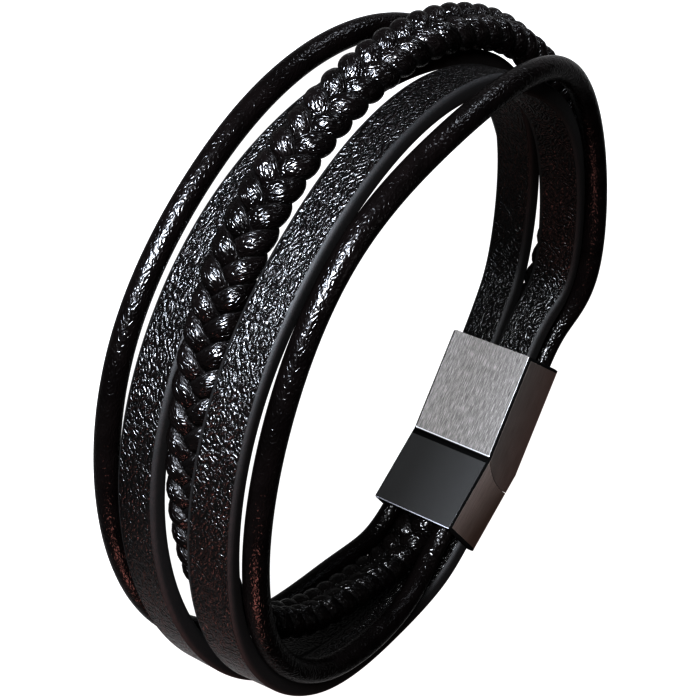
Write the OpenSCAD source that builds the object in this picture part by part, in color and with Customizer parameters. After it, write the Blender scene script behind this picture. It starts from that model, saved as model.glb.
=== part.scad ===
// Layered leather bracelet: two round cords, two flat straps and a flattened braid, all held by a
// two-part clasp, closed and lying on its side. Millimetres.
// The wrist's axis is Z, the floor is at z = 0 and the clasp is on the +Y side. Angles round the
// wrist start at the clasp and grow towards its short half, which is on the +X side.

/* [Clasp] */
// Width of the clasp across the strands
clasp_w = 12; // [12:0.1:12.5]
// Thickness of the clasp from the wrist's side to the outside
clasp_t = 7.4; // [7.4:0.1:8]
// Length of the long half on the wrist's side
long_len = 13; // [12:0.5:15]
// Length of the short half on the wrist's side
short_len = 10; // [10:0.5:12]
// Bend between the two halves, degrees
clasp_bend = 14; // [10:1:18]
// Wall round each socket
clasp_wall = 0.6; // [0.4:0.1:0.6]
// Depth of the socket in the long half
long_socket = 8; // [7:0.5:9]
// Depth of the socket in the short half
short_socket = 6; // [5:0.5:6]
// How far the long half's nose reaches past the fold
nose_reach = 2.5; // [2:0.1:3]
// Groove between the two halves
groove = 0.1; // [0.1:0.05:0.4]
// Chamfer of the short half's inner edge at the fold
fold_chamfer = 0.4; // [0.2:0.1:0.6]
// Radius of the bend on the outside
bend_round = 30; // [10:1:35]
// Rounding of the outer edges
outer_round = 0.9; // [0.6:0.1:1.2]
// Rounding of the edges on the wrist's side
inner_round = 0.3; // [0.2:0.1:0.4]

/* [Strands] */
// Width of a flat strap
strap_w = 5.2; // [4.8:0.1:5.2]
// Thickness of a flat strap
strap_t = 2; // [1.6:0.1:2]
// Rounding of a flat strap's edges
strap_round = 0.7; // [0.4:0.1:0.8]
// Diameter of a round cord
cord_d = 2.7; // [2.4:0.1:2.7]
// Width of the braid
braid_w = 5.7; // [5:0.1:5.7]
// Thickness of the braid
braid_t = 3.9; // [3.4:0.1:3.9]
// Length of one lobe of the braid along its run
lobe_len = 2.8; // [2.6:0.1:4]
// Height of the braid's lobes above the grooves between them
lobe_relief = 0.4; // [0.2:0.05:0.5]
// How far a lobe runs back from the braid's middle line to its edge
lobe_slant = 2.2; // [1:0.1:2.4]
// Clearance between strands and to the sockets' walls
gap = 0.1; // [0.05:0.05:0.1]

/* [Loop] */
// Mean distance of the strands from the wrist's axis
loop_r = 34.2; // [34.2:0.1:36]
// How much the loop is wider from side to side than from front to back
loop_oval = 1.8; // [1.5:0.1:2]
// Distance from the wrist's axis to the clasp's inner face, at the fold
clasp_out = 28; // [27.5:0.5:28.5]
// How far the fold lies to the side of the middle
clasp_side = 1.5; // [1:0.5:2]
// Height of the clasp's middle above the floor, at the fold
clasp_high = 6.2; // [6.2:0.1:6.5]
// Tilt of the clasp outwards at its foot, degrees
clasp_lean = 4; // [3:0.5:5]
// Turn of the clasp that brings both of its mouths square to the strands, degrees
clasp_turn = 5; // [4:0.5:6]

/* [Hidden] */

// Columns of the tables below, from the strand on the floor upwards
LOW_CORD = 0;
LOW_STRAP = 1;
BRAID = 2;
HIGH_STRAP = 3;
HIGH_CORD = 4;

// The tables have one row for each station round the wrist, the first by the clasp's short half
first_station = 40;
station_step = 28;

// How far each strand stands out from the loop's middle line. By the short half the straps are the
// outer layer, by the long half they are the inner one, and they cross at the front.
STAND_OUT = [
    [-2.5,  4.5, -3.0,  2.5, -0.5],
    [ 0.5,  3.5, -4.0,  2.0, -0.5],
    [ 0.5,  1.0, -4.0,  0.5, -1.5],
    [-0.5, -1.0, -3.5, -0.5, -2.5],
    [ 0.0, -1.5, -1.0,  0.0, -2.0],
    [-1.0, -1.5,  1.5, -0.5, -0.5],
    [-0.5, -1.5,  1.5, -1.5, -2.0],
    [-0.5, -2.0,  1.5, -3.0, -2.0],
    [-0.5, -2.0,  1.5, -4.0,  0.5],
    [ 1.0, -1.5,  2.5, -4.0,  1.0],
    [ 3.0, -0.5,  3.5,  0.0,  1.5],
];

// Height of each strand's middle above the low cord's middle as it lies on the floor
HEIGHT = [
    [0.0, 2.5, 5.0,  7.5, 10.5],
    [0.5, 4.0, 7.0, 11.0, 13.5],
    [0.0, 4.5, 8.5, 12.5, 16.0],
    [0.0, 4.0, 9.5, 14.5, 18.5],
    [0.0, 4.5, 10.0, 15.5, 19.5],
    [0.0, 5.0, 10.0, 16.0, 20.0],
    [0.0, 6.5, 10.0, 15.0, 21.0],
    [0.0, 7.5, 9.0, 13.5, 19.0],
    [0.0, 6.0, 8.5, 13.5, 14.5],
    [0.0, 3.0, 7.5, 10.5, 12.0],
    [0.0, 1.0, 5.5,  8.0, 12.0],
];

// How far each flat strand's upper edge leans in towards the wrist, degrees
LEAN = [
    [0, 0, 15,  0, 0],
    [0, 0, 10,  0, 0],
    [0, 0,  5,  5, 0],
    [0, 0,  5, 15, 0],
    [0, 0, 15, 10, 0],
    [0, 0, 25,  0, 0],
    [0, 0, 25,  5, 0],
    [0, 0, 25,  0, 0],
    [0, 0, 20, -10, 0],
    [0, 0, 15, -15, 0],
    [0, 0, 10, -10, 0],
];

// Where each strand sits in a mouth: the straps share the inner layer of the long half's mouth and
// the outer layer of the short half's, and the cords and the braid have the other one. The mouths'
// corners are rounded by a little less than the wall.
LONG_HALF = 0;
SHORT_HALF = 1;
mouth_round = clasp_wall - 0.1;
socket_w = clasp_w - 2 * clasp_wall;
socket_t = clasp_t - 2 * clasp_wall;
cord_layer_t = socket_t - strap_t - 3 * gap;

// In the sockets the cords and the braid are pressed a little smaller, so that three lie side by side.
// A cord keeps this share of its diameter.
pressed_share = 0.9;
pressed_cord_d = pressed_share * cord_d;
pressed_braid_w = socket_w - 2 * pressed_cord_d - 4 * gap;

// Depth of each strand's middle in a mouth. The cords lie against the clasp's wall.
inner_strap = clasp_wall + gap + strap_t / 2;
outer_strap = clasp_t - inner_strap;
inner_braid = clasp_wall + gap + cord_layer_t / 2;
outer_braid = clasp_t - inner_braid;
cord_shift = (cord_layer_t - pressed_cord_d) / 2;
DEPTH = [
    [outer_braid + cord_shift, inner_strap, outer_braid, inner_strap, outer_braid + cord_shift],
    [inner_braid - cord_shift, outer_strap, inner_braid, outer_strap, inner_braid - cord_shift],
];
cord_across = socket_w / 2 - gap - pressed_cord_d / 2;
strap_across = strap_w / 2 + (socket_w - 2 * strap_w) / 4;
ACROSS = [-cord_across, -strap_across, 0, strap_across, cord_across];

// Each strand is led by control points at these distances from a mouth, and by the stations between.
// Past the mouth the strands spread a little.
LEAD_IN = [-15, -10, -5, 0, 5];
lead_step = 5;
mouth_spread = 1.05;
socket_end = 0.4;

// Facets of the strands
cord_sides = 10;
rings_per_span = 5;
rings_per_lobe = 3;
braid_sides = 12;

// The whole bracelet is moved sideways by this, so that its box is centred on the wrist's axis
centring = -0.4;

// The clasp's own frame at the fold: its two halves run down from there on both sides. The roll
// lifts its long half a little.
CLASP_AT = [clasp_side + centring, clasp_out, clasp_high];
clasp_roll = 0.5;
TILT = [clasp_lean, clasp_roll, 0];
half_bend = clasp_bend / 2;
long_turn = half_bend + clasp_turn;
short_turn = half_bend - clasp_turn;
half_run = [[-cos(long_turn), -sin(long_turn), 0], [cos(short_turn), -sin(short_turn), 0]];
half_out = [[-sin(long_turn), cos(long_turn), 0], [sin(short_turn), cos(short_turn), 0]];
half_len = [long_len, short_len];
socket_depth = [long_socket, short_socket];

// The two turns of the tilt, X first, as one matrix
TILT_MATRIX = [
    [cos(TILT.y), sin(TILT.y) * sin(TILT.x), sin(TILT.y) * cos(TILT.x)],
    [0, cos(TILT.x), -sin(TILT.x)],
    [-sin(TILT.y), cos(TILT.y) * sin(TILT.x), cos(TILT.y) * cos(TILT.x)],
];
clasp_across = TILT_MATRIX * [0, 0, 1];

// A point by a half's mouth: along its run past the mouth, deep from its inner face, and across
function at_mouth(half, along, depth, across) =
    CLASP_AT + TILT_MATRIX * (half_run[half] * (half_len[half] + along)
                              + half_out[half] * depth + [0, 0, across]);

function spread_at(along) = along > 0 ? mouth_spread : 1;

function lead_in(strand, half) =
    [for (along = LEAD_IN) at_mouth(half, along, DEPTH[half][strand], ACROSS[strand] * spread_at(along))];

function backwards(list) = [for (i = [len(list) - 1:-1:0]) list[i]];

// The smooth curve cuts its control points' corners, so these stand out by as much as it pulls in.
// The loop stands out a little more on the short half's side.
corner_pull = 6 / (4 + 2 * cos(station_step));
side_swell = 0.9;
function station_angle(i) = first_station + station_step * i;
function loop_distance(angle) =
    corner_pull * (loop_r - loop_oval * cos(2 * angle) + side_swell * sin(angle));

function station_point(strand, i) =
    let (angle = station_angle(i), r = loop_distance(angle) + STAND_OUT[i][strand])
    [r * sin(angle) + centring, r * cos(angle), cord_d / 2 + HEIGHT[i][strand]];

function station_across(strand, i) =
    let (angle = station_angle(i), lean = LEAN[i][strand])
    [-sin(lean) * sin(angle), -sin(lean) * cos(angle), cos(lean)];

// Control points of a strand from the short half's socket to the long half's
function controls(strand) = concat(
    lead_in(strand, SHORT_HALF),
    [for (i = [0:len(STAND_OUT) - 1]) station_point(strand, i)],
    backwards(lead_in(strand, LONG_HALF)));

function controls_across(strand) = concat(
    [for (along = LEAD_IN) clasp_across],
    [for (i = [0:len(STAND_OUT) - 1]) station_across(strand, i)],
    [for (along = LEAD_IN) clasp_across]);

// How much of its free size a strand has: 0 where it is pressed in a socket, 1 on the loop
function controls_free() = concat(
    [for (along = LEAD_IN) 0],
    [for (i = [0:len(STAND_OUT) - 1]) 1],
    [for (along = LEAD_IN) 0]);

// Uniform cubic spline through a list of numbers or points, and its direction
function spline(list, t) =
    let (k = min(floor(t), len(list) - 4), f = t - k, g = 1 - f)
    (g * g * g * list[k] + (3 * f * f * f - 6 * f * f + 4) * list[k + 1]
     + (3 * g * g * g - 6 * g * g + 4) * list[k + 2] + f * f * f * list[k + 3]) / 6;

function spline_way(list, t) =
    let (k = min(floor(t), len(list) - 4), f = t - k, g = 1 - f)
    -g * g * list[k] + (3 * f * f - 4 * f) * list[k + 1]
    + (4 * g - 3 * g * g) * list[k + 2] + f * f * list[k + 3];

function unit(v) = v / norm(v);

// Where a strand starts and ends on its curve, so that it fills a socket to just before its end
last_span = len(STAND_OUT) + 2 * len(LEAD_IN) - 3;
function socket_start(half) = (socket_end - socket_depth[half] - LEAD_IN[1]) / lead_step;
mouth_t = -LEAD_IN[1] / lead_step;
first_t = socket_start(SHORT_HALF);
last_t = last_span - socket_start(LONG_HALF);

// A section's points on the frame of the curve at t. Each point is [outward, across].
function on_curve(path, across, t, point) =
    let (way = unit(spline_way(path, t)),
         side = unit(spline(across, t)),
         out = unit(cross(side, way)),
         up = cross(way, out))
    spline(path, t) + point[0] * out + point[1] * up;

// A closed tube over a list of rings that all have the same number of points
module tube(rings) {
    sides = len(rings[0]);
    last = len(rings) - 1;
    polyhedron(
        points = [for (ring = rings) for (p = ring) p],
        faces = concat(
            [[for (j = [0:sides - 1]) j]],
            [[for (j = [sides - 1:-1:0]) last * sides + j]],
            [for (i = [0:last - 1]) for (j = [0:sides - 1])
                let (a = i * sides + j, b = i * sides + (j + 1) % sides) [b, a, a + sides]],
            [for (i = [0:last - 1]) for (j = [0:sides - 1])
                let (a = i * sides + j, b = i * sides + (j + 1) % sides) [b, a + sides, b + sides]]),
        convexity = 6);
}

ring_places = concat([first_t], [for (t = [mouth_t:1 / rings_per_span:last_span - mouth_t]) t], [last_t]);

function cord_section(d) =
    [for (j = [0:cord_sides - 1]) let (a = 180 - 360 * j / cord_sides) d / 2 * [sin(a), cos(a)]];

// Each corner of the strap is an arc of three points
function strap_section() =
    [for (corner = [0:3]) for (j = [0:2])
        let (middle = 45 - 90 * corner, a = middle + 45 - 45 * j)
        [sign(sin(middle)) * (strap_t / 2 - strap_round) + strap_round * sin(a),
         sign(cos(middle)) * (strap_w / 2 - strap_round) + strap_round * cos(a)]];

module round_cord(strand) {
    path = controls(strand);
    across = controls_across(strand);
    free = controls_free();
    tube([for (t = ring_places)
        let (d = pressed_cord_d + (cord_d - pressed_cord_d) * spline(free, t))
        [for (p = cord_section(d)) on_curve(path, across, t, p)]]);
}

module flat_strap(strand) {
    path = controls(strand);
    across = controls_across(strand);
    section = strap_section();
    tube([for (t = ring_places) [for (p = section) on_curve(path, across, t, p)]]);
}

// Lobed braid. Its two columns of lobes are half a lobe apart and meet in a valley on the outside
// and on the inside, where they point the opposite way.
// Near the middle line a lobe's crest drops to the valley's share of the relief. The slant of the
// lobes grows from nothing at the strand's ends over the taper's length.
valley_reach = 0.3;
valley_share = 0.5;
slant_taper = 6 * lobe_slant;
run_steps = 20;
function lobe_back(a) = lobe_slant * abs(a - 90) / 90;
function in_left_column(a) = a > 90;
function valley(a) = abs(cos(a)) < valley_reach ? valley_share : 1;

module lobed_braid() {
    path = controls(BRAID);
    across = controls_across(BRAID);
    free = controls_free();
    last_mark = last_span * run_steps;
    marks = [for (i = [0:last_mark]) i / run_steps];
    run = [for (i = 0, s = 0; i <= last_mark;
                s = s + norm(spline(path, min(i + 1, last_mark) / run_steps) - spline(path, i / run_steps)),
                i = i + 1) s];
    place_of_run = [for (i = [0:len(marks) - 1]) [run[i], marks[i]]];
    run_of_place = [for (i = [0:len(marks) - 1]) [marks[i], run[i]]];
    start = lookup(first_t, run_of_place);
    end = lookup(last_t, run_of_place);
    rings = floor((end - start - 3 * lobe_slant) / lobe_len) * rings_per_lobe;
    pitch = (end - start) / (rings + 2);
    tube([for (i = [0:rings + 2])
        let (s = start + pitch * i, near_end = min(1, min(s - start, end - s) / slant_taper),
             crest = i % rings_per_lobe == 0 ? 0 : 1)
        [for (j = [0:braid_sides - 1])
            let (a = 375 - 360 * j / braid_sides,
                 angle = a > 270 ? a - 360 : a,
                 column_shift = (in_left_column(angle) ? 1 : -1) * lobe_len / 4,
                 t = lookup(s + near_end * (lobe_back(angle) - lobe_slant + column_shift),
                            place_of_run),
                 f = spline(free, t),
                 w = pressed_braid_w + (braid_w - pressed_braid_w) * f,
                 h = cord_layer_t + (braid_t - cord_layer_t) * f,
                 low = lobe_relief * (1 - crest * valley(angle)))
            on_curve(path, across, t, [(h / 2 - low) * sin(angle), (w / 2 - low) * cos(angle)])]]);
}

// What a rounding takes off a corner that points to +X +Y and has its tip at the origin
module corner_off(r) {
    translate([-r, -r])
        difference() {
            square(r + 1);
            circle(r, $fn = 48);
        }
}

// Side view of the whole clasp: X from the fold towards the short half, Y outwards. It runs on past
// the mouths, which the plan of each bar sets.
past_mouth = 0.5;

module clasp_outline() {
    fold_top = clasp_t / cos(half_bend);
    bend_middle = fold_top - bend_round / cos(half_bend);
    flat_start = bend_round * sin(half_bend);
    flat_high = bend_middle + bend_round * cos(half_bend);
    long_end = -(long_len + past_mouth) * [cos(half_bend), sin(half_bend)];
    short_end = (short_len + past_mouth) * [cos(half_bend), -sin(half_bend)];
    difference() {
        polygon([[0, 0], short_end,
                 short_end + clasp_t * [sin(half_bend), cos(half_bend)],
                 [0, fold_top],
                 long_end + clasp_t * [-sin(half_bend), cos(half_bend)],
                 long_end]);
        difference() {
            polygon([[flat_start, flat_high], [0, fold_top + 1], [-flat_start, flat_high]]);
            translate([0, bend_middle]) circle(bend_round, $fn = 180);
        }
        rotate(-half_bend) translate([short_len, clasp_t]) corner_off(outer_round);
        rotate(half_bend) mirror([1, 0]) translate([long_len, clasp_t]) corner_off(outer_round);
    }
}

// End view of a half: X outwards and Y across, rounded along all four edges
module clasp_end() {
    difference() {
        translate([0, -clasp_w / 2]) square([clasp_t, clasp_w]);
        for (side = [0, 1]) {
            mirror([0, side]) translate([clasp_t, clasp_w / 2]) corner_off(outer_round);
            mirror([0, side]) translate([0, clasp_w / 2]) mirror([1, 0]) corner_off(inner_round);
        }
    }
}

// Plan of a half's bar, X along it, with its mouth's corners rounded
module bar_plan(length) {
    difference() {
        translate([-1, -clasp_w / 2]) square([length + 1, clasp_w]);
        for (side = [0, 1]) mirror([0, side]) translate([length, clasp_w / 2]) corner_off(mouth_round);
    }
}

// One half's bar with its edges rounded, from just past the fold to its mouth
module half_bar(length) {
    intersection() {
        translate([-1, 0, 0]) rotate([90, 0, 90]) linear_extrude(length + 2) clasp_end();
        rotate([-90, 0, 0]) translate([0, 0, -1]) linear_extrude(clasp_t + 2) bar_plan(length);
    }
}

module clasp_body() {
    intersection() {
        linear_extrude(clasp_w + 2, center = true) clasp_outline();
        union() {
            rotate([0, 0, -half_bend]) half_bar(short_len);
            mirror([1, 0, 0]) rotate([0, 0, -half_bend]) half_bar(long_len);
        }
    }
}

// The nose is round: it starts at the fold and reaches furthest near the outer face
nose_high = 6;
nose_back = (nose_high * nose_high - nose_reach * nose_reach) / (2 * nose_reach);
nose_r = nose_back + nose_reach;

module nose_side(clearance) {
    translate([-nose_back, nose_high]) cylinder(clasp_w + 4, r = nose_r + clearance, center = true, $fn = 96);
    translate([-nose_back - 2 * long_len, -clasp_t, -clasp_w])
        cube([2 * long_len, 4 * clasp_t, 2 * clasp_w]);
}

// A socket, cut from a mouth towards the fold
module socket(length, depth) {
    translate([length - depth, clasp_wall, -socket_w / 2]) cube([depth + 1, socket_t, socket_w]);
}

// What the chamfer takes off at the fold, over the whole width
module fold_edge() {
    linear_extrude(clasp_w + 2, center = true)
        polygon([[-1, -1], [fold_chamfer + 1, -1], [-1, fold_chamfer + 1]]);
}

module in_clasp_frame() {
    translate(CLASP_AT) rotate(TILT) rotate([0, 0, clasp_turn]) children();
}

module clasp_long_half() {
    color("#6f7074") in_clasp_frame() difference() {
        intersection() {
            clasp_body();
            nose_side(0);
        }
        mirror([1, 0, 0]) rotate([0, 0, -half_bend]) socket(long_len, long_socket);
    }
}

module clasp_short_half() {
    color("#4a4a4d") in_clasp_frame() difference() {
        clasp_body();
        nose_side(groove);
        rotate([0, 0, -half_bend]) {
            socket(short_len, short_socket);
            fold_edge();
        }
    }
}

module round_cord_low() {
    color("#1b191b") round_cord(LOW_CORD);
}

module strap_low() {
    color("#242326") flat_strap(LOW_STRAP);
}

module braided_cord() {
    color("#1e1d20") lobed_braid();
}

module strap_high() {
    color("#242326") flat_strap(HIGH_STRAP);
}

module round_cord_high() {
    color("#1b191b") round_cord(HIGH_CORD);
}

round_cord_low();
strap_low();
braided_cord();
strap_high();
round_cord_high();
clasp_long_half();
clasp_short_half();
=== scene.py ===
"""Looks of the layered leather bracelet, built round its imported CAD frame."""
import math

import bmesh
import bpy
import numpy as np
from mathutils import Matrix, Vector


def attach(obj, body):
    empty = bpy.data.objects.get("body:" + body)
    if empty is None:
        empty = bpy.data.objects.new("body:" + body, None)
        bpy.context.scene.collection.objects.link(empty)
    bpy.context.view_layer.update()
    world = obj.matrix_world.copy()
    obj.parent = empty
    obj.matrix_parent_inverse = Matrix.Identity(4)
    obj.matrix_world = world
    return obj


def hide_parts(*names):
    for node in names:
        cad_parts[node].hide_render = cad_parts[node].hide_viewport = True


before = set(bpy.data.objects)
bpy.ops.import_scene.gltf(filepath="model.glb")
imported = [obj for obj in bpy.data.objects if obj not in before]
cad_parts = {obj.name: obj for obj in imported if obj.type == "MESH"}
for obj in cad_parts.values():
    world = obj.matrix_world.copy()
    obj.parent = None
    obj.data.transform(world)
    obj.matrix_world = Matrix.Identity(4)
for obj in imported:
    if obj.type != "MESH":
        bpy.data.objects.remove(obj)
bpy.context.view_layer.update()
MM = 0.001

# The named sizes below repeat the part's source, in millimetres and degrees
CLASP_W, CLASP_T = 12, 7.4
LONG_LEN, SHORT_LEN = 13, 10
CLASP_BEND, CLASP_TURN, CLASP_WALL = 14, 5, 0.6
LONG_SOCKET, SHORT_SOCKET = 8, 6
CLASP_SIDE, CLASP_OUT, CLASP_HIGH = 1.5, 28, 6.2
CLASP_LEAN, CLASP_ROLL, CENTRING = 4, 0.5, -0.4
STRAP_W, STRAP_T = 5.2, 2
CORD_D, BRAID_W, BRAID_T, LOBE_LEN, GAP = 2.7, 5.7, 3.9, 2.8, 0.1
LOOP_R, LOOP_OVAL, SIDE_SWELL = 34.2, 1.8, 0.9
FIRST_STATION, STATION_STEP = 40, 28
PRESSED_SHARE, MOUTH_SPREAD, SOCKET_END = 0.9, 1.05, 0.4
LEAD_IN = [-15, -10, -5, 0, 5]
LEAD_STEP = 5

# Columns: low cord, low strap, braid, high strap, high cord. One row for each station.
LOW_CORD, LOW_STRAP, BRAID, HIGH_STRAP, HIGH_CORD = range(5)
STAND_OUT = [
    [-2.5, 4.5, -3.0, 2.5, -0.5],
    [0.5, 3.5, -4.0, 2.0, -0.5],
    [0.5, 1.0, -4.0, 0.5, -1.5],
    [-0.5, -1.0, -3.5, -0.5, -2.5],
    [0.0, -1.5, -1.0, 0.0, -2.0],
    [-1.0, -1.5, 1.5, -0.5, -0.5],
    [-0.5, -1.5, 1.5, -1.5, -2.0],
    [-0.5, -2.0, 1.5, -3.0, -2.0],
    [-0.5, -2.0, 1.5, -4.0, 0.5],
    [1.0, -1.5, 2.5, -4.0, 1.0],
    [3.0, -0.5, 3.5, 0.0, 1.5],
]
HEIGHT = [
    [0.0, 2.5, 5.0, 7.5, 10.5],
    [0.5, 4.0, 7.0, 11.0, 13.5],
    [0.0, 4.5, 8.5, 12.5, 16.0],
    [0.0, 4.0, 9.5, 14.5, 18.5],
    [0.0, 4.5, 10.0, 15.5, 19.5],
    [0.0, 5.0, 10.0, 16.0, 20.0],
    [0.0, 6.5, 10.0, 15.0, 21.0],
    [0.0, 7.5, 9.0, 13.5, 19.0],
    [0.0, 6.0, 8.5, 13.5, 14.5],
    [0.0, 3.0, 7.5, 10.5, 12.0],
    [0.0, 1.0, 5.5, 8.0, 12.0],
]
LEAN = [
    [0, 0, 15, 0, 0],
    [0, 0, 10, 0, 0],
    [0, 0, 5, 5, 0],
    [0, 0, 5, 15, 0],
    [0, 0, 15, 10, 0],
    [0, 0, 25, 0, 0],
    [0, 0, 25, 5, 0],
    [0, 0, 25, 0, 0],
    [0, 0, 20, -10, 0],
    [0, 0, 15, -15, 0],
    [0, 0, 10, -10, 0],
]


def sin(degrees):
    return math.sin(math.radians(degrees))


def cos(degrees):
    return math.cos(math.radians(degrees))


# The clasp's frame and the mouths, as in the part's source
LONG_HALF, SHORT_HALF = 0, 1
SOCKET_W, SOCKET_T = CLASP_W - 2 * CLASP_WALL, CLASP_T - 2 * CLASP_WALL
CORD_LAYER_T = SOCKET_T - STRAP_T - 3 * GAP
PRESSED_CORD_D = PRESSED_SHARE * CORD_D
PRESSED_BRAID_W = SOCKET_W - 2 * PRESSED_CORD_D - 4 * GAP
INNER_STRAP = CLASP_WALL + GAP + STRAP_T / 2
INNER_BRAID = CLASP_WALL + GAP + CORD_LAYER_T / 2
OUTER_STRAP, OUTER_BRAID = CLASP_T - INNER_STRAP, CLASP_T - INNER_BRAID
CORD_SHIFT = (CORD_LAYER_T - PRESSED_CORD_D) / 2
DEPTH = [
    [OUTER_BRAID + CORD_SHIFT, INNER_STRAP, OUTER_BRAID, INNER_STRAP, OUTER_BRAID + CORD_SHIFT],
    [INNER_BRAID - CORD_SHIFT, OUTER_STRAP, INNER_BRAID, OUTER_STRAP, INNER_BRAID - CORD_SHIFT],
]
CORD_ACROSS = SOCKET_W / 2 - GAP - PRESSED_CORD_D / 2
STRAP_ACROSS = STRAP_W / 2 + (SOCKET_W - 2 * STRAP_W) / 4
ACROSS = [-CORD_ACROSS, -STRAP_ACROSS, 0, STRAP_ACROSS, CORD_ACROSS]
CLASP_AT = np.array([CLASP_SIDE + CENTRING, CLASP_OUT, CLASP_HIGH])
TILT = np.array(Matrix.Rotation(math.radians(CLASP_ROLL), 3, "Y")
                @ Matrix.Rotation(math.radians(CLASP_LEAN), 3, "X"))
LONG_TURN, SHORT_TURN = CLASP_BEND / 2 + CLASP_TURN, CLASP_BEND / 2 - CLASP_TURN
HALF_RUN = np.array([[-cos(LONG_TURN), -sin(LONG_TURN), 0], [cos(SHORT_TURN), -sin(SHORT_TURN), 0]])
HALF_OUT = np.array([[-sin(LONG_TURN), cos(LONG_TURN), 0], [sin(SHORT_TURN), cos(SHORT_TURN), 0]])
HALF_LEN = [LONG_LEN, SHORT_LEN]
SOCKET_DEPTH = [LONG_SOCKET, SHORT_SOCKET]
CLASP_ACROSS = TILT @ np.array([0, 0, 1])


def at_mouth(half, along, depth, across):
    """A point by a half's mouth: past it along the half, outwards and across."""
    return CLASP_AT + TILT @ (HALF_RUN[half] * (HALF_LEN[half] + along)
                              + HALF_OUT[half] * depth + np.array([0, 0, across]))


def lead_in(strand, half):
    return [at_mouth(half, a, DEPTH[half][strand], ACROSS[strand] * (MOUTH_SPREAD if a > 0 else 1))
            for a in LEAD_IN]


# A spline through points on a ring runs inside them, so each stands out by this factor
PULL = 6 / (4 + 2 * cos(STATION_STEP))


def station_point(strand, i):
    angle = FIRST_STATION + STATION_STEP * i
    r = PULL * (LOOP_R - LOOP_OVAL * cos(2 * angle) + SIDE_SWELL * sin(angle)) + STAND_OUT[i][strand]
    return [r * sin(angle) + CENTRING, r * cos(angle), CORD_D / 2 + HEIGHT[i][strand]]


def station_across(strand, i):
    angle, lean = FIRST_STATION + STATION_STEP * i, LEAN[i][strand]
    return [-sin(lean) * sin(angle), -sin(lean) * cos(angle), cos(lean)]


# A strand's control points: a lead-in, the stations, a lead-in. FREE is 1 where nothing presses it.
STATIONS = range(len(STAND_OUT))
LAST_SPAN = len(STAND_OUT) + 2 * len(LEAD_IN) - 3
FREE = np.array([0.0] * len(LEAD_IN) + [1.0] * len(STAND_OUT) + [0.0] * len(LEAD_IN))


def controls(strand):
    return np.array(lead_in(strand, SHORT_HALF) + [station_point(strand, i) for i in STATIONS]
                    + lead_in(strand, LONG_HALF)[::-1])


def controls_across(strand):
    ends = [list(CLASP_ACROSS)] * len(LEAD_IN)
    return np.array(ends + [station_across(strand, i) for i in STATIONS] + ends)


def spline(points, t):
    """The uniform cubic B-spline of the control points at each t."""
    k = np.minimum(np.floor(t).astype(int), len(points) - 4)
    f = t - k
    if points.ndim > 1:
        f = f[:, None]
    g = 1 - f
    return (g ** 3 * points[k] + (3 * f ** 3 - 6 * f ** 2 + 4) * points[k + 1]
            + (3 * g ** 3 - 6 * g ** 2 + 4) * points[k + 2] + f ** 3 * points[k + 3]) / 6


def unit(v):
    return v / np.linalg.norm(v, axis=-1, keepdims=True)


def socket_start(half):
    return (SOCKET_END - SOCKET_DEPTH[half] - LEAD_IN[1]) / LEAD_STEP


FIRST_T, LAST_T = socket_start(SHORT_HALF), LAST_SPAN - socket_start(LONG_HALF)
FINE_SAMPLES = 4000


def lengths(points):
    """How far along its line each point lies."""
    return np.concatenate([[0], np.cumsum(np.linalg.norm(np.diff(points, axis=0), axis=1))])


class Run:
    """A strand's middle line, sampled evenly by its length, with its outward and upward directions."""

    def __init__(self, strand, step):
        path, across = controls(strand), controls_across(strand)
        fine = np.linspace(FIRST_T, LAST_T, FINE_SAMPLES)
        length = lengths(spline(path, fine))
        self.s = np.linspace(0, length[-1], int(round(length[-1] / step)) + 1)
        t = np.interp(self.s, length, fine)
        self.at = spline(path, t)
        way = unit(np.gradient(self.at, self.s, axis=0))
        self.out = unit(np.cross(unit(spline(across, t)), way))
        self.up = np.cross(way, self.out)
        self.free = spline(FREE, t)


# Meshes
def tube(rings, along, round_about):
    """Faces and UVs of a closed tube over rings of shape (n, m, 3). round_about has m + 1 values."""
    n, m = rings.shape[:2]
    faces, uvs = [], []
    for i in range(n - 1):
        for j in range(m):
            k = (j + 1) % m
            faces.append((i * m + j, i * m + k, (i + 1) * m + k, (i + 1) * m + j))
            uvs += [(along[i], round_about[j]), (along[i], round_about[j + 1]),
                    (along[i + 1], round_about[j + 1]), (along[i + 1], round_about[j])]
    for first, order in ((0, range(m - 1, -1, -1)), ((n - 1) * m, range(m))):
        faces.append(tuple(first + j for j in order))
        uvs += [(along[0 if first == 0 else -1], round_about[j]) for j in order]
    return faces, uvs


def add_object(name, vertices, faces, uvs, material):
    """A smooth closed mesh in metres from points in millimetres, with UVs in millimetres."""
    mesh = bpy.data.meshes.new(name)
    mesh.from_pydata((vertices * MM).tolist(), [], faces)
    layer = mesh.uv_layers.new(name="run")
    layer.data.foreach_set("uv", np.asarray(uvs, dtype=np.float32).ravel())
    mesh.materials.append(material)
    mesh.polygons.foreach_set("use_smooth", [True] * len(mesh.polygons))
    b = bmesh.new()
    b.from_mesh(mesh)
    bmesh.ops.recalc_face_normals(b, faces=b.faces)
    b.to_mesh(mesh)
    b.free()
    obj = bpy.data.objects.new(name, mesh)
    bpy.context.scene.collection.objects.link(obj)
    return obj


def mark_edges(obj, share):
    """Gives each point its share of smooth or raw edge, for the leather to read."""
    attribute = obj.data.attributes.new("edge", "FLOAT", "POINT")
    attribute.data.foreach_set("value", share.astype(np.float32))


# Materials
BLACK, WHITE = (0, 0, 0, 1), (1, 1, 1, 1)
# The second leather colour is painted shade in the strap grain's valleys.
LEATHER, LEATHER_VALLEY_SHADE = (0.0003, 0.0002, 0.0002), (0.0001, 0.0001, 0.0001, 1)
# The second line colour is a painted highlight on the clasp.
LINE_DARK, PAINTED_HIGHLIGHT = (0.004, 0.004, 0.004, 1), (0.6, 0.61, 0.64, 1)

# The range that a noise mostly keeps to, and the places of the Mix node's colour sockets
NOISE_LOW, NOISE_HIGH = 0.3, 0.7
MIX_A, MIX_B, MIX_RESULT = 6, 7, 2


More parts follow.
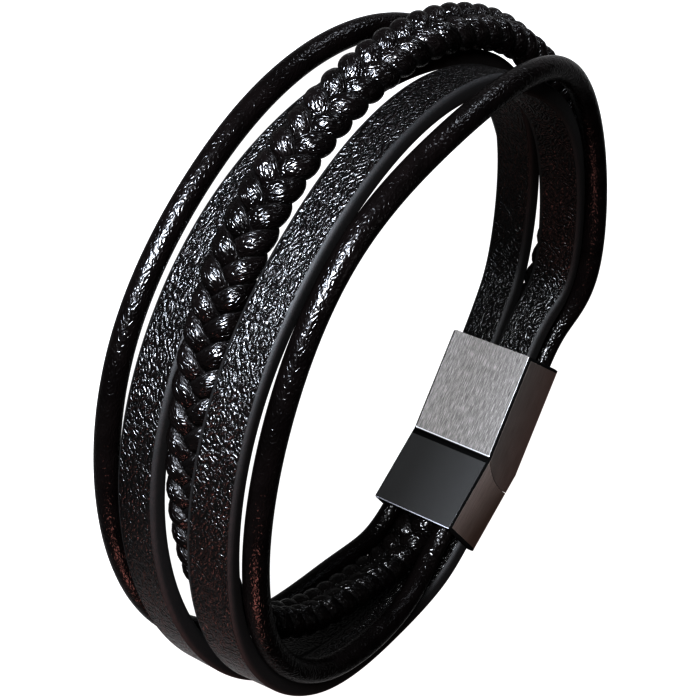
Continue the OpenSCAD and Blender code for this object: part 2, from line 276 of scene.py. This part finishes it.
class Look:
    """A new material, with short ways to add nodes to it. A value is a constant or an output."""

    def __init__(self, name):
        self.material = bpy.data.materials.new(name)
        self.material.use_nodes = True
        self.tree = self.material.node_tree

    def fill(self, socket, value):
        if isinstance(value, bpy.types.NodeSocket):
            self.tree.links.new(value, socket)
        else:
            socket.default_value = value

    def surface(self, **values):
        for name, value in values.items():
            self.fill(self.tree.nodes["Principled BSDF"].inputs[name.replace("_", " ")], value)
        return self.material

    def add(self, kind, **settings):
        node = self.tree.nodes.new("ShaderNode" + kind)
        for key, value in settings.items():
            setattr(node, key, value)
        return node

    def attribute(self, name, output):
        return self.add("Attribute", attribute_name=name).outputs[output]

    def uv(self):
        return self.add("UVMap", uv_map="run").outputs[0]

    def scaled(self, vector, scale):
        node = self.add("Mapping")
        self.fill(node.inputs["Scale"], scale)
        self.fill(node.inputs["Vector"], vector)
        return node.outputs[0]

    def noise(self, vector, scale, detail, roughness=0.5, flat=True):
        node = self.add("TexNoise", noise_dimensions="2D" if flat else "3D")
        for name, value in (("Scale", scale), ("Detail", detail), ("Roughness", roughness)):
            self.fill(node.inputs[name], value)
        if vector is not None:
            self.fill(node.inputs["Vector"], vector)
        return node

    def maths(self, operation, a, b=None, clamp=False):
        node = self.add("Math", operation=operation, use_clamp=clamp)
        self.fill(node.inputs[0], a)
        if b is not None:
            self.fill(node.inputs[1], b)
        return node.outputs[0]

    def plus(self, base, value, share, clamp=False):
        """base + share * value."""
        return self.maths("ADD", base, self.maths("MULTIPLY", value, share), clamp)

    def ramp(self, value, low, high, colour_low=BLACK, colour_high=WHITE):
        node = self.add("ValToRGB")
        first, last = node.color_ramp.elements
        first.position, last.position = low, high
        first.color, last.color = colour_low, colour_high
        self.fill(node.inputs[0], value)
        return node.outputs[0]

    def mix(self, factor, a, b):
        node = self.add("Mix", data_type="RGBA")
        self.fill(node.inputs["Factor"], factor)
        self.fill(node.inputs[MIX_A], a)
        self.fill(node.inputs[MIX_B], b)
        return node.outputs[MIX_RESULT]

    def bump(self, height, distance, normal=None):
        """The normal for a height of 0 to 1 that stands for a distance in millimetres."""
        node = self.add("Bump")
        self.fill(node.inputs["Strength"], 1.0)
        self.fill(node.inputs["Distance"], distance * MM)
        self.fill(node.inputs["Height"], height)
        if normal is not None:
            self.fill(node.inputs["Normal"], normal)
        return node.outputs[0]

    def run_coordinates(self, scale, warp, warp_scale):
        """Points along and round a strand in millimetres, warped by noise, and scaled."""
        uv = self.uv()
        move = self.add("VectorMath", operation="MULTIPLY_ADD")
        self.fill(move.inputs[0], self.noise(uv, warp_scale, 3).outputs["Color"])
        self.fill(move.inputs[1], (warp, warp, 0))
        self.fill(move.inputs[2], uv)
        return self.scaled(move.outputs[0], scale)

    def grain_lines(self, scale, lines, warp, warp_scale):
        """Winding ridges from 0 to 1, as contour lines of a smooth noise, so that no slope is steep."""
        swirl = self.noise(self.run_coordinates(scale, warp, warp_scale), 1.0, 0.5)
        turn = self.maths("MULTIPLY", swirl.outputs["Fac"], 2 * math.pi * lines)
        return self.plus(0.5, self.maths("SINE", turn), 0.5)


STRAP_ROUGH, EDGE_ROUGH, STRAP_GLOSS = 0.29, 0.4, 0.045
CREASE_WIDE, CREASE_SHARE = 0.12, 0.4
GRAIN_HIGH, PORES_HIGH = 0.11, 0.02


def strap_leather():
    """Winding and creased grain on the two faces, smooth and dull on the rolled edges."""
    look = Look("strap_leather")
    edge = look.attribute("edge", "Fac")
    worms = look.grain_lines((0.85, 1.3, 1), lines=3.2, warp=0.25, warp_scale=1.6)
    folds = look.noise(look.run_coordinates((1.3, 1.9, 1), warp=0.5, warp_scale=0.6), 1.0, 2.5, 0.55)
    ridges = look.maths("ABSOLUTE", look.maths("SUBTRACT", folds.outputs["Fac"], 0.5))
    grain = look.plus(worms, look.ramp(ridges, 0.0, CREASE_WIDE), CREASE_SHARE)
    height = look.maths("MULTIPLY", grain, look.maths("SUBTRACT", 1.0, edge))
    pores = look.bump(look.noise(look.uv(), scale=7, detail=4).outputs["Fac"], PORES_HIGH)
    return look.surface(
        # The base colour is darker in the grain's valleys: painted shade.
        Base_Color=look.ramp(worms, 0.1, 0.9, LEATHER_VALLEY_SHADE, LEATHER + (1,)),
        Roughness=look.plus(STRAP_ROUGH, edge, EDGE_ROUGH),
        Specular_IOR_Level=STRAP_GLOSS,
        Normal=look.bump(height, GRAIN_HIGH, pores))


CORD_ROUGH, SLOW_ROUGH, RAW_ROUGH, SLOW_DARK = 0.2, 0.1, 0.25, 0.45


def cord_leather(name, scale, lines, distance, gloss):
    """Glossy leather with fine wrinkles, a slight colour change along the strand and matt raw edges."""
    look = Look(name)
    wrinkles = look.grain_lines(scale, lines, warp=0.3, warp_scale=1.2)
    slow = look.noise(look.uv(), scale=0.25, detail=2).outputs["Fac"]
    dark = tuple(SLOW_DARK * c for c in LEATHER) + (1,)
    raw = look.attribute("edge", "Fac")
    rough = look.plus(look.plus(CORD_ROUGH, slow, SLOW_ROUGH), raw, RAW_ROUGH, True)
    return look.surface(
        Base_Color=look.ramp(slow, NOISE_LOW, NOISE_HIGH, dark, LEATHER + (1,)),
        Roughness=rough,
        Specular_IOR_Level=gloss,
        Normal=look.bump(wrinkles, distance))


ALONG, DEEP, SIDEWAYS = range(3)
RIM_DEPTH, BRIGHT_IN, BRIGHT_HALF_WIDTH = 0.35, 0.12, 0.07
LINE_STEEPNESS, LINE_ROUGH, GRAIN_ROUGH = 12.0, 0.4, 0.12


def steel(name, colour, metallic, roughness, grain, distance, spread, gloss=0.5, dark_line=None,
          highlight_line=None, bright=PAINTED_HIGHLIGHT, outwards=None):
    """Dark coated steel in its half's own millimetres: along it, outwards and across.

    The grain runs along the half. dark_line is an axis and a distance: sideways the dark rim
    lies outside it, and outwards below it. At highlight_line along the half lies a thin painted
    highlight.
    outwards is the colour at the outer side, and how much of it each millimetre along adds: painted
    shade, tinted with painted warm light.
    """
    look = Look(name)
    place = look.attribute("grain", "Vector")
    lines = look.noise(look.scaled(place, grain), scale=1.0, detail=4, roughness=0.7,
                       flat=False).outputs["Fac"]
    low, high = (tuple(c * share for c in colour) + (1,) for share in (1 - spread, 1 + spread))
    coat = look.ramp(lines, NOISE_LOW, NOISE_HIGH, low, high)
    rough = look.plus(roughness, lines, GRAIN_ROUGH)
    split = look.add("SeparateXYZ")
    look.fill(split.inputs[0], place)
    if dark_line is not None:
        axis, start = dark_line
        far = look.maths("ABSOLUTE", split.outputs[axis])
        past = look.maths("SUBTRACT", *((far, start) if axis == SIDEWAYS else (start, far)))
        rim = look.maths("MULTIPLY", past, LINE_STEEPNESS, True)
        coat = look.mix(rim, coat, LINE_DARK)
        rough = look.plus(rough, rim, LINE_ROUGH)
    # Painted shade: the colour turns darker and warmer towards the outer side, tinted with painted warm
    # light.
    if outwards is not None:
        outer_shade_colour, along_share = outwards
        deep = look.maths("MULTIPLY", split.outputs[DEEP], 1 / CLASP_T)
        coat = look.mix(look.plus(deep, split.outputs[ALONG], along_share, True), coat, outer_shade_colour)
    # Painted highlight: a thin light line across the face at a given distance along the half.
    if highlight_line is not None:
        near = look.maths("ABSOLUTE", look.maths("SUBTRACT", split.outputs[ALONG], highlight_line))
        coat = look.mix(look.maths("LESS_THAN", near, BRIGHT_HALF_WIDTH), coat, bright)
    return look.surface(Base_Color=coat, Roughness=rough, Metallic=metallic, Specular_IOR_Level=gloss,
                        Normal=look.bump(lines, distance))


FLOOR_LOW, FLOOR_HIGH = (0.012, 0.012, 0.012, 1), (0.015, 0.015, 0.015, 1)


def floor_material():
    """Plain and white: its light is its own glow, so that no shadow or gloss shows on it."""
    look = Look("floor")
    tone = look.noise(None, scale=3, detail=2, flat=False).outputs["Fac"]
    return look.surface(
        Base_Color=look.ramp(tone, NOISE_LOW, NOISE_HIGH, FLOOR_LOW, FLOOR_HIGH),
        Roughness=0.9, Specular_IOR_Level=0.1, Emission_Color=WHITE, Emission_Strength=1.0)


STRAP = strap_leather()
CORD = cord_leather("cord_leather", (1.2, 2.0, 1), lines=2.6, distance=0.034, gloss=0.02)
LACE = cord_leather("braid_leather", (1.7, 2.2, 1), lines=2.8, distance=0.06, gloss=0.034)
# The brushed face gets a painted highlight line by the fold.
BRUSHED = steel("clasp_brushed_face", (0.298, 0.291, 0.289), metallic=1.0, roughness=0.14,
                grain=(0.8, 7, 7), distance=0.012, spread=0.42,
                dark_line=(SIDEWAYS, CLASP_W / 2 - RIM_DEPTH), highlight_line=BRIGHT_IN)
# The side faces darken and warm towards the outer side as painted shade with painted warm light; the
# short half's also further from the fold.
LONG_SIDES = steel("clasp_long_sides", (0.18, 0.165, 0.155), metallic=1.0, roughness=0.26,
                   grain=(0.3, 7, 7), distance=0.008, spread=0.2,
                   dark_line=(DEEP, 0.32), outwards=((0.145, 0.1, 0.086, 1), 0.0))
# The satin face gets a faint painted highlight line by the mouth.
SATIN = steel("clasp_satin_face", (0.0028, 0.0028, 0.0028), metallic=0.0, roughness=0.11,
              grain=(2, 2, 2), distance=0.002, spread=0.05, gloss=0.26,
              highlight_line=SHORT_LEN - BRIGHT_IN, bright=(0.02, 0.02, 0.022, 1))
SHORT_SIDES = steel("clasp_short_sides", (0.36, 0.32, 0.3), metallic=1.0, roughness=0.26,
                    grain=(0.3, 7, 7), distance=0.008, spread=0.3,
                    dark_line=(DEEP, 0.25), outwards=((0.11, 0.075, 0.06, 1), 0.03))
DARK_EDGE = steel("clasp_dark_edge", (0.0005, 0.0005, 0.0005), metallic=0.0, roughness=0.8,
                  grain=(1, 1, 1), distance=0.001, spread=0.05, gloss=0.0)

# Round cords
CORD_STEP, ROUND_SIDES = 0.45, 32
ROUND_ANGLES = np.linspace(0, 2 * np.pi, ROUND_SIDES, endpoint=False)


def round_cord(name, strand, node):
    run = Run(strand, CORD_STEP)
    r = (PRESSED_CORD_D + (CORD_D - PRESSED_CORD_D) * run.free) / 2
    rings = (run.at[:, None]
             + r[:, None, None] * (np.sin(ROUND_ANGLES)[None, :, None] * run.out[:, None]
                                   + np.cos(ROUND_ANGLES)[None, :, None] * run.up[:, None]))
    faces, uvs = tube(rings, run.s, np.linspace(0, np.pi * CORD_D, ROUND_SIDES + 1))
    obj = add_object(name, rings.reshape(-1, 3), faces, uvs, CORD)
    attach(obj, "root")
    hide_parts(node)


# Flat straps. Between each face and the rolled edge is a fine raised line. FACE_STEPS are the
# points of a half section, from the strap's middle to where its flat side begins.
STRAP_STEP = 0.5
ROLL_R, EDGE_FLAT = 0.6, 0.25
LIP_AT, LIP_HIGH, LIP_WIDE = 2.12, 0.02, 0.07
EDGE_EARLY, EDGE_BLEND = 0.06, 0.08
FACE_STEPS = [0, 0.5, 1, 1.5, 1.8, 1.95, 2.02, 2.08, 2.12, 2.16, 2.22, 2.3, 2.38, 2.45, 2.51, 2.55, 2.58]


def half_thickness(x):
    """Half the strap's thickness at x from its middle, with the rolled edge and the raised line."""
    flat = STRAP_W / 2 - ROLL_R
    drop = 0 if x <= flat else ROLL_R - math.sqrt(max(0, ROLL_R ** 2 - (x - flat) ** 2))
    lip = LIP_HIGH * math.exp(-((x - LIP_AT) / LIP_WIDE) ** 2)
    return STRAP_T / 2 - drop + lip


def strap_section():
    """Points [outward, across] round the strap, and how far each belongs to the smooth edge."""
    half = [(half_thickness(x), x) for x in FACE_STEPS] + [(EDGE_FLAT, STRAP_W / 2), (0, STRAP_W / 2)]
    side = half + [(-o, x) for o, x in half[-2::-1]]
    points = side + [(o, -x) for o, x in side[-2:0:-1]]
    edge = [min(1, max(0, (abs(x) - LIP_AT + EDGE_EARLY) / EDGE_BLEND)) for _, x in points]
    return np.array(points), np.array(edge)


def flat_strap(name, strand, node):
    run = Run(strand, STRAP_STEP)
    section, edge = strap_section()
    rings = (run.at[:, None] + section[None, :, :1] * run.out[:, None]
             + section[None, :, 1:] * run.up[:, None])
    faces, uvs = tube(rings, run.s, lengths(np.vstack([section, section[:1]])))
    obj = add_object(name, rings.reshape(-1, 3), faces, uvs, STRAP)
    mark_edges(obj, np.tile(edge, len(run.s)))
    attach(obj, "root")
    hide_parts(node)


# The braid: three laces that cross over and under each other. LACE_ROOM is what a lace keeps of
# the braid's half thickness, and GRAIN_SHIFT parts the laces' grain.
BRAID_STEP, LACES, LACE_GIRTH = 0.25, 3, 7.3
LACE_THIN, LACE_WIDE, LACE_SHARP = 0.93, 1.26, 0.12
LACE_TURN, LACE_RAW, RAW_BLEND = 0.35, 0.78, 0.15
LACE_ROOM, STRAIGHTER = 0.99, 0.06
GRAIN_SHIFT = 97


def braid(name, node):
    run = Run(BRAID, BRAID_STEP)
    sweep = BRAID_W / 2 - LACE_THIN
    rise = BRAID_T / 2 - LACE_ROOM
    width = (PRESSED_BRAID_W + (BRAID_W - PRESSED_BRAID_W) * run.free) / BRAID_W
    lens = np.sin(ROUND_ANGLES) * (1 - LACE_SHARP * (1 - np.abs(np.sin(ROUND_ANGLES))))
    vertices, faces, uvs = [], [], []
    for lace in range(LACES):
        turn = 2 * np.pi * (run.s / (LACES * LOBE_LEN) + lace / LACES)
        x = sweep * (np.sin(turn) - STRAIGHTER * np.sin(3 * turn)) / (1 + STRAIGHTER) * width
        y = rise * np.sin(2 * turn)
        at = run.at + y[:, None] * run.out + x[:, None] * run.up
        way = unit(np.gradient(at, axis=0))
        thin = LACE_TURN * sweep * run.up + (2 * rise * np.cos(turn))[:, None] * run.out
        thin = unit(thin - (thin * way).sum(1, keepdims=True) * way)
        wide = np.cross(way, thin)
        rings = (at[:, None] + LACE_THIN * lens[None, :, None] * thin[:, None]
                 + LACE_WIDE * np.cos(ROUND_ANGLES)[None, :, None] * wide[:, None])
        lace_faces, lace_uvs = tube(rings, lengths(at) + GRAIN_SHIFT * lace,
                                    np.linspace(0, LACE_GIRTH, ROUND_SIDES + 1))
        start = lace * len(run.s) * ROUND_SIDES
        faces += [tuple(start + i for i in face) for face in lace_faces]
        uvs += lace_uvs
        vertices.append(rings.reshape(-1, 3))
    obj = add_object(name, np.vstack(vertices), faces, uvs, LACE)
    raw = np.clip((np.abs(np.cos(ROUND_ANGLES)) - LACE_RAW) / RAW_BLEND, 0, 1)
    mark_edges(obj, np.tile(raw, LACES * len(run.s)))
    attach(obj, "root")
    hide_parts(node)


round_cord("low_cord", LOW_CORD, "round_cord_low")
flat_strap("low_strap", LOW_STRAP, "strap_low")
braid("plaited_laces", "braided_cord")
flat_strap("high_strap", HIGH_STRAP, "strap_high")
round_cord("high_cord", HIGH_CORD, "round_cord_high")

# The clasp: each half's solid again, with finely broken edges
WELD, FLAT_ANGLE = 2e-7, math.radians(0.5)
BEVEL, BEVEL_ROUNDS, SHARP = 0.12, 2, math.radians(25)
# The short half's face is dark this far from the fold: painted shade of the gap between the halves.
FOLD_SHADE_BAND, RIM_DARK, FOLD_EDGE = 0.75, 0.2, 0.5
FACE, SIDE, DARK = range(3)

# Cosines from which a face counts as square to an axis, and as turned to the mouth
SQUARE, MOUTHWARD = 0.98, 0.2

# The short half's face is cut where its dark band, painted shade of the gap at the fold, and its dark
# rims begin: a point, and the cut's direction
DARK_CUTS = [
    ((FOLD_SHADE_BAND, 0, 0), (1, 0, 0)),
    ((0, 0, CLASP_W / 2 - RIM_DARK), (0, 0, 1)),
    ((0, 0, RIM_DARK - CLASP_W / 2), (0, 0, 1)),
]


def clasp_part(half, normal, centre, broken):
    """Which material a face of a half gets, from its place and normal along, outwards and across."""
    along, depth, across = centre
    if normal[DEEP] < -SQUARE and not (broken and half == LONG_HALF and along > FOLD_EDGE):
        # The band by the fold is painted shade of the gap between the halves; the rims along the sides
        # are dark too.
        shade_band_or_dark_rim = half == SHORT_HALF and (along < FOLD_SHADE_BAND or abs(across) > CLASP_W / 2 - RIM_DARK)
        return DARK if shade_band_or_dark_rim else FACE
    if normal[ALONG] > MOUTHWARD or (depth < RIM_DEPTH and abs(normal[SIDEWAYS]) < SQUARE):
        return DARK
    return DARK if broken else SIDE


def clasp_half(name, node, half, face_material, side_material):
    axes = np.array([HALF_RUN[half], HALF_OUT[half], [0, 0, 1]])

    def local(points):
        """Millimetres along the half from the fold, outwards and across."""
        return ((np.array(points) / MM - CLASP_AT) @ TILT) @ axes.T

    b = bmesh.new()
    b.from_mesh(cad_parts[node].data)
    bmesh.ops.remove_doubles(b, verts=b.verts, dist=WELD)
    bmesh.ops.dissolve_limit(b, angle_limit=FLAT_ANGLE, verts=b.verts, edges=b.edges)
    edges = [e for e in b.edges if len(e.link_faces) == 2 and e.calc_face_angle(0) > SHARP]
    broken = set(bmesh.ops.bevel(b, geom=edges, offset=BEVEL * MM, segments=BEVEL_ROUNDS, profile=0.5,
                                 affect="EDGES", clamp_overlap=True)["faces"])
    for line, way in DARK_CUTS if half == SHORT_HALF else []:
        bmesh.ops.bisect_plane(b, geom=b.verts[:] + b.edges[:] + b.faces[:],
                               plane_co=(CLASP_AT + TILT @ (np.array(line) @ axes)) * MM,
                               plane_no=TILT @ (np.array(way) @ axes))
    bmesh.ops.recalc_face_normals(b, faces=b.faces)
    for face in b.faces:
        normal = (np.array(face.normal) @ TILT) @ axes.T
        face.material_index = clasp_part(half, normal, local(face.calc_center_median()), face in broken)
        face.smooth = True
    bmesh.ops.triangulate(b, faces=[f for f in b.faces if len(f.verts) > 4])
    mesh = bpy.data.meshes.new(name)
    b.to_mesh(mesh)
    b.free()
    for material in (face_material, side_material, DARK_EDGE):
        mesh.materials.append(material)
    points = np.empty(len(mesh.vertices) * 3, dtype=np.float32)
    mesh.vertices.foreach_get("co", points)
    grain = mesh.attributes.new("grain", "FLOAT_VECTOR", "POINT")
    grain.data.foreach_set("vector", local(points.reshape(-1, 3)).astype(np.float32).ravel())
    obj = bpy.data.objects.new(name, mesh)
    bpy.context.scene.collection.objects.link(obj)
    even = obj.modifiers.new("even_normals", "WEIGHTED_NORMAL")
    even.keep_sharp = True
    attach(obj, "root")
    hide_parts(node)


clasp_half("long_clasp_half", "clasp_long_half", LONG_HALF, BRUSHED, LONG_SIDES)
clasp_half("short_clasp_half", "clasp_short_half", SHORT_HALF, SATIN, SHORT_SIDES)

# Floor, world and lights, in metres
REACH, WORLD_GLOW, PICTURE_GAMMA = 2, 0.08, 0.6
MIDDLE = Vector((0, 0, 0.01))
corners = [(-REACH, -REACH, 0), (REACH, -REACH, 0), (REACH, REACH, 0), (-REACH, REACH, 0)]
floor_mesh = bpy.data.meshes.new("floor")
floor_mesh.from_pydata(corners, [], [(0, 1, 2, 3)])
floor_mesh.materials.append(floor_material())
floor = bpy.data.objects.new("floor", floor_mesh)
bpy.context.scene.collection.objects.link(floor)

world = bpy.data.worlds.new("studio")
world.use_nodes = True
world.node_tree.nodes["Background"].inputs["Color"].default_value = WHITE
world.node_tree.nodes["Background"].inputs["Strength"].default_value = WORLD_GLOW
bpy.context.scene.world = world
bpy.context.scene.view_settings.view_transform = "Standard"
bpy.context.scene.view_settings.gamma = PICTURE_GAMMA


def area_light(name, at, size, power, colour):
    """A square soft light that looks at the bracelet's middle, in metres and watts."""
    data = bpy.data.lights.new(name, "AREA")
    data.size, data.energy, data.color = size, power, colour
    obj = bpy.data.objects.new(name, data)
    obj.location = at
    obj.rotation_euler = (MIDDLE - Vector(at)).to_track_quat("-Z", "Y").to_euler()
    bpy.context.scene.collection.objects.link(obj)


area_light("front", (0.01, -0.42, 0.08), 0.14, 102.0, (0.82, 0.89, 1.0))
area_light("inside", (0.02, -0.39, 0.155), 0.12, 78.0, (0.95, 0.97, 1.0))
area_light("left", (-0.42, -0.10, 0.07), 0.12, 9.0, (0.88, 0.93, 1.0))
area_light("warm", (0.39, 0.12, 0.12), 0.14, 9.0, (1.0, 0.48, 0.42))
area_light("top", (-0.10, 0.10, 0.60), 0.16, 3.0, (1, 1, 1))

# The camera, fitted to the photograph, in millimetres, degrees and the photograph's pixels
AZIMUTH, ELEVATION, ROLL = 12.78, 33.31, 111.92
DISTANCE, FOCAL_PX, AIM_X, AIM_Y = 223.8, 2000.6, -3.34, 3.38
PHOTO_PX, SENSOR, NEAR_CLIP = 700, 36, 0.01
back = np.array([sin(AZIMUTH) * cos(ELEVATION), -cos(AZIMUTH) * cos(ELEVATION), sin(ELEVATION)])
level = np.array([cos(AZIMUTH), sin(AZIMUTH), 0])
upright = np.cross(back, level)
camera_x = cos(ROLL) * level + sin(ROLL) * upright
camera_y = -sin(ROLL) * level + cos(ROLL) * upright
place = back * DISTANCE - camera_x * AIM_X - camera_y * AIM_Y + np.array([CENTRING, 0, 0])
camera_data = bpy.data.cameras.new("camera")
camera_data.sensor_width = SENSOR
camera_data.lens = FOCAL_PX / PHOTO_PX * SENSOR
camera_data.clip_start = NEAR_CLIP
camera = bpy.data.objects.new("camera", camera_data)
turn = Matrix((camera_x, camera_y, back)).transposed()
camera.matrix_world = Matrix.Translation(place * MM) @ turn.to_4x4()
bpy.context.scene.collection.objects.link(camera)
bpy.context.scene.camera = camera
